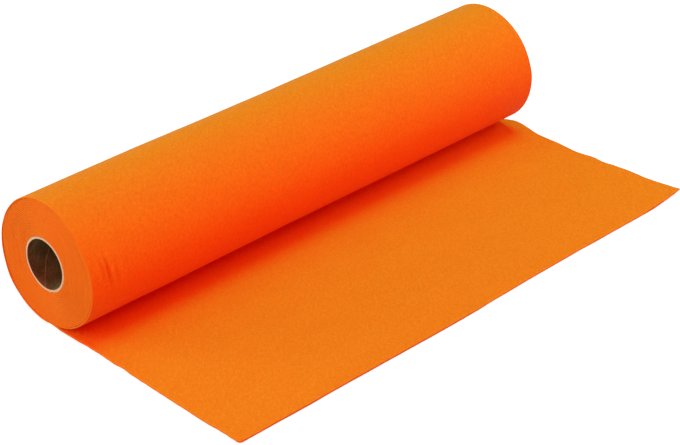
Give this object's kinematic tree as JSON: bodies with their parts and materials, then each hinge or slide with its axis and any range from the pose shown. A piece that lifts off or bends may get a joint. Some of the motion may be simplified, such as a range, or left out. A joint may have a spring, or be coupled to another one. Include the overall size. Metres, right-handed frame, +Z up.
{
  "type": "roll of felt",
  "caption": "Roll of craft felt on a cardboard core, lying on its own laid-out end, which runs out flat in front of it.",
  "frame": {"origin": "on the underside of the laid-out sheet, below the roll's axis, at half the sheet's width", "axes": "+X along the roll, -Y the way that the loose end runs out, +Z up"},
  "size_m": [0.4628, 0.2416, 0.0964],
  "materials": {
    "felt": "matte needle-punched craft felt, bright orange",
    "cardboard": "plain brown wound cardboard, pale at the cut ends"
  },
  "bodies": {
    "root": {"felt": "felt", "core": "cardboard"}
  },
  "joints": []
}
